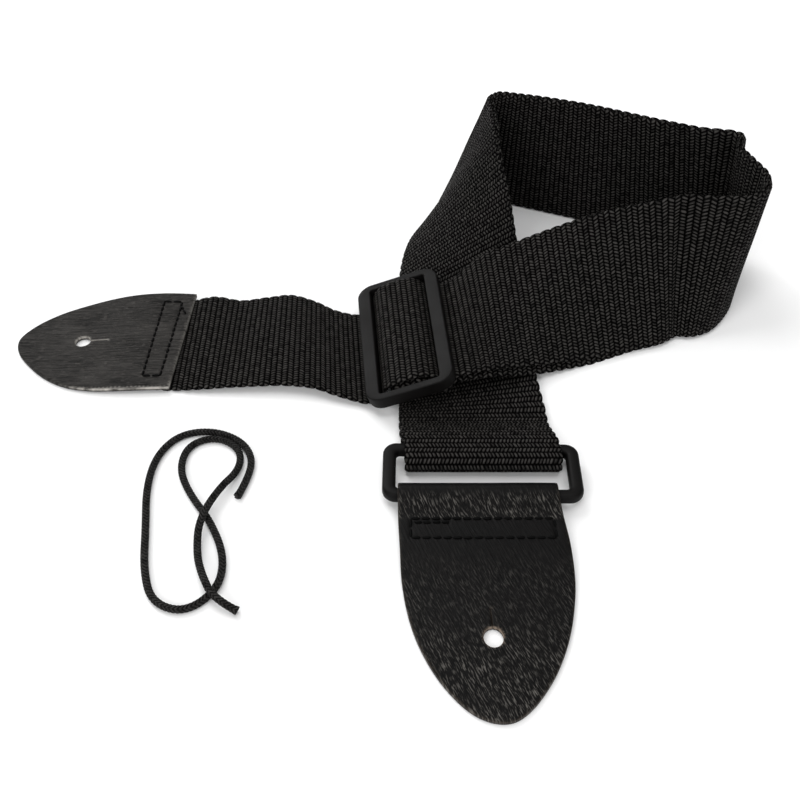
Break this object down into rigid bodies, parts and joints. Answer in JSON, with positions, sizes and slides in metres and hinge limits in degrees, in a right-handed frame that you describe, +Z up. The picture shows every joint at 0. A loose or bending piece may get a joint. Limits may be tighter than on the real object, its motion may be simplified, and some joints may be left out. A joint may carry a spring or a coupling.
{
  "type": "guitar_strap",
  "caption": "Black 50 mm woven guitar strap lying looped on its edge, with leather end tabs, three-bar slider, rectangular ring and a loose tie lace",
  "frame": {"origin": "on the table plane, under the middle of the box round the strap (lace left out)", "axes": "+X from the tail tab towards the loop, +Y from the front tab towards the back of the loop, +Z up off the table"},
  "size_m": [0.2708, 0.2471, 0.0506],
  "materials": {
    "webbing": "matte herringbone weave",
    "leather_tail": "smooth, slightly glossy, faint scratches",
    "leather_front": "grained, semi matte, creased near the point",
    "plastic": "moulded, satin",
    "thread": "waxed thread",
    "lace": "fine round braid"
  },
  "bodies": {
    "strap": {"tail_tab_leather": "leather_tail", "tail_tab_stitching": "thread", "webbing_tail_run": "webbing", "webbing_outer_band": "webbing", "webbing_outer_bend": "webbing", "webbing_outer_back": "webbing", "webbing_outer_return": "webbing", "webbing_outer_front": "webbing", "webbing_inner_band": "webbing", "webbing_inner_bend": "webbing", "webbing_inner_back": "webbing", "webbing_inner_return": "webbing", "webbing_inner_front": "webbing", "webbing_ring_fold": "webbing"},
    "slider": {"slider_frame": "plastic", "webbing_slider_hump": "webbing", "webbing_sewn_end": "webbing", "sewn_end_stitching": "thread"},
    "ring": {"ring_frame": "plastic"},
    "front_tab": {"front_tab_leather": "leather_front", "front_tab_stitching": "thread"},
    "lace": {"tie_lace": "lace"}
  },
  "joints": [
    {"name": "slider_travel", "type": "slide", "parent": "strap", "child": "slider", "axis": [-1, 0, 0], "range_m": [0, 0.04], "deforming": ["webbing_tail_run"]},
    {"name": "ring_swing", "type": "hinge", "parent": "strap", "child": "ring", "pos_m": [0.0275, -0.0313, 0.00425], "axis": [-1, 0, 0], "range_deg": [-75, 100]},
    {"name": "front_tab_swing", "type": "hinge", "parent": "ring", "child": "front_tab", "pos_m": [0.0275, -0.0502, 0.00425], "axis": [-1, 0, 0], "range_deg": [-90, 60]},
    {"name": "lace_lift", "type": "slide", "parent": "strap", "child": "lace", "axis": [0, 0, 1], "range_m": [0, 0.05]}
  ]
}
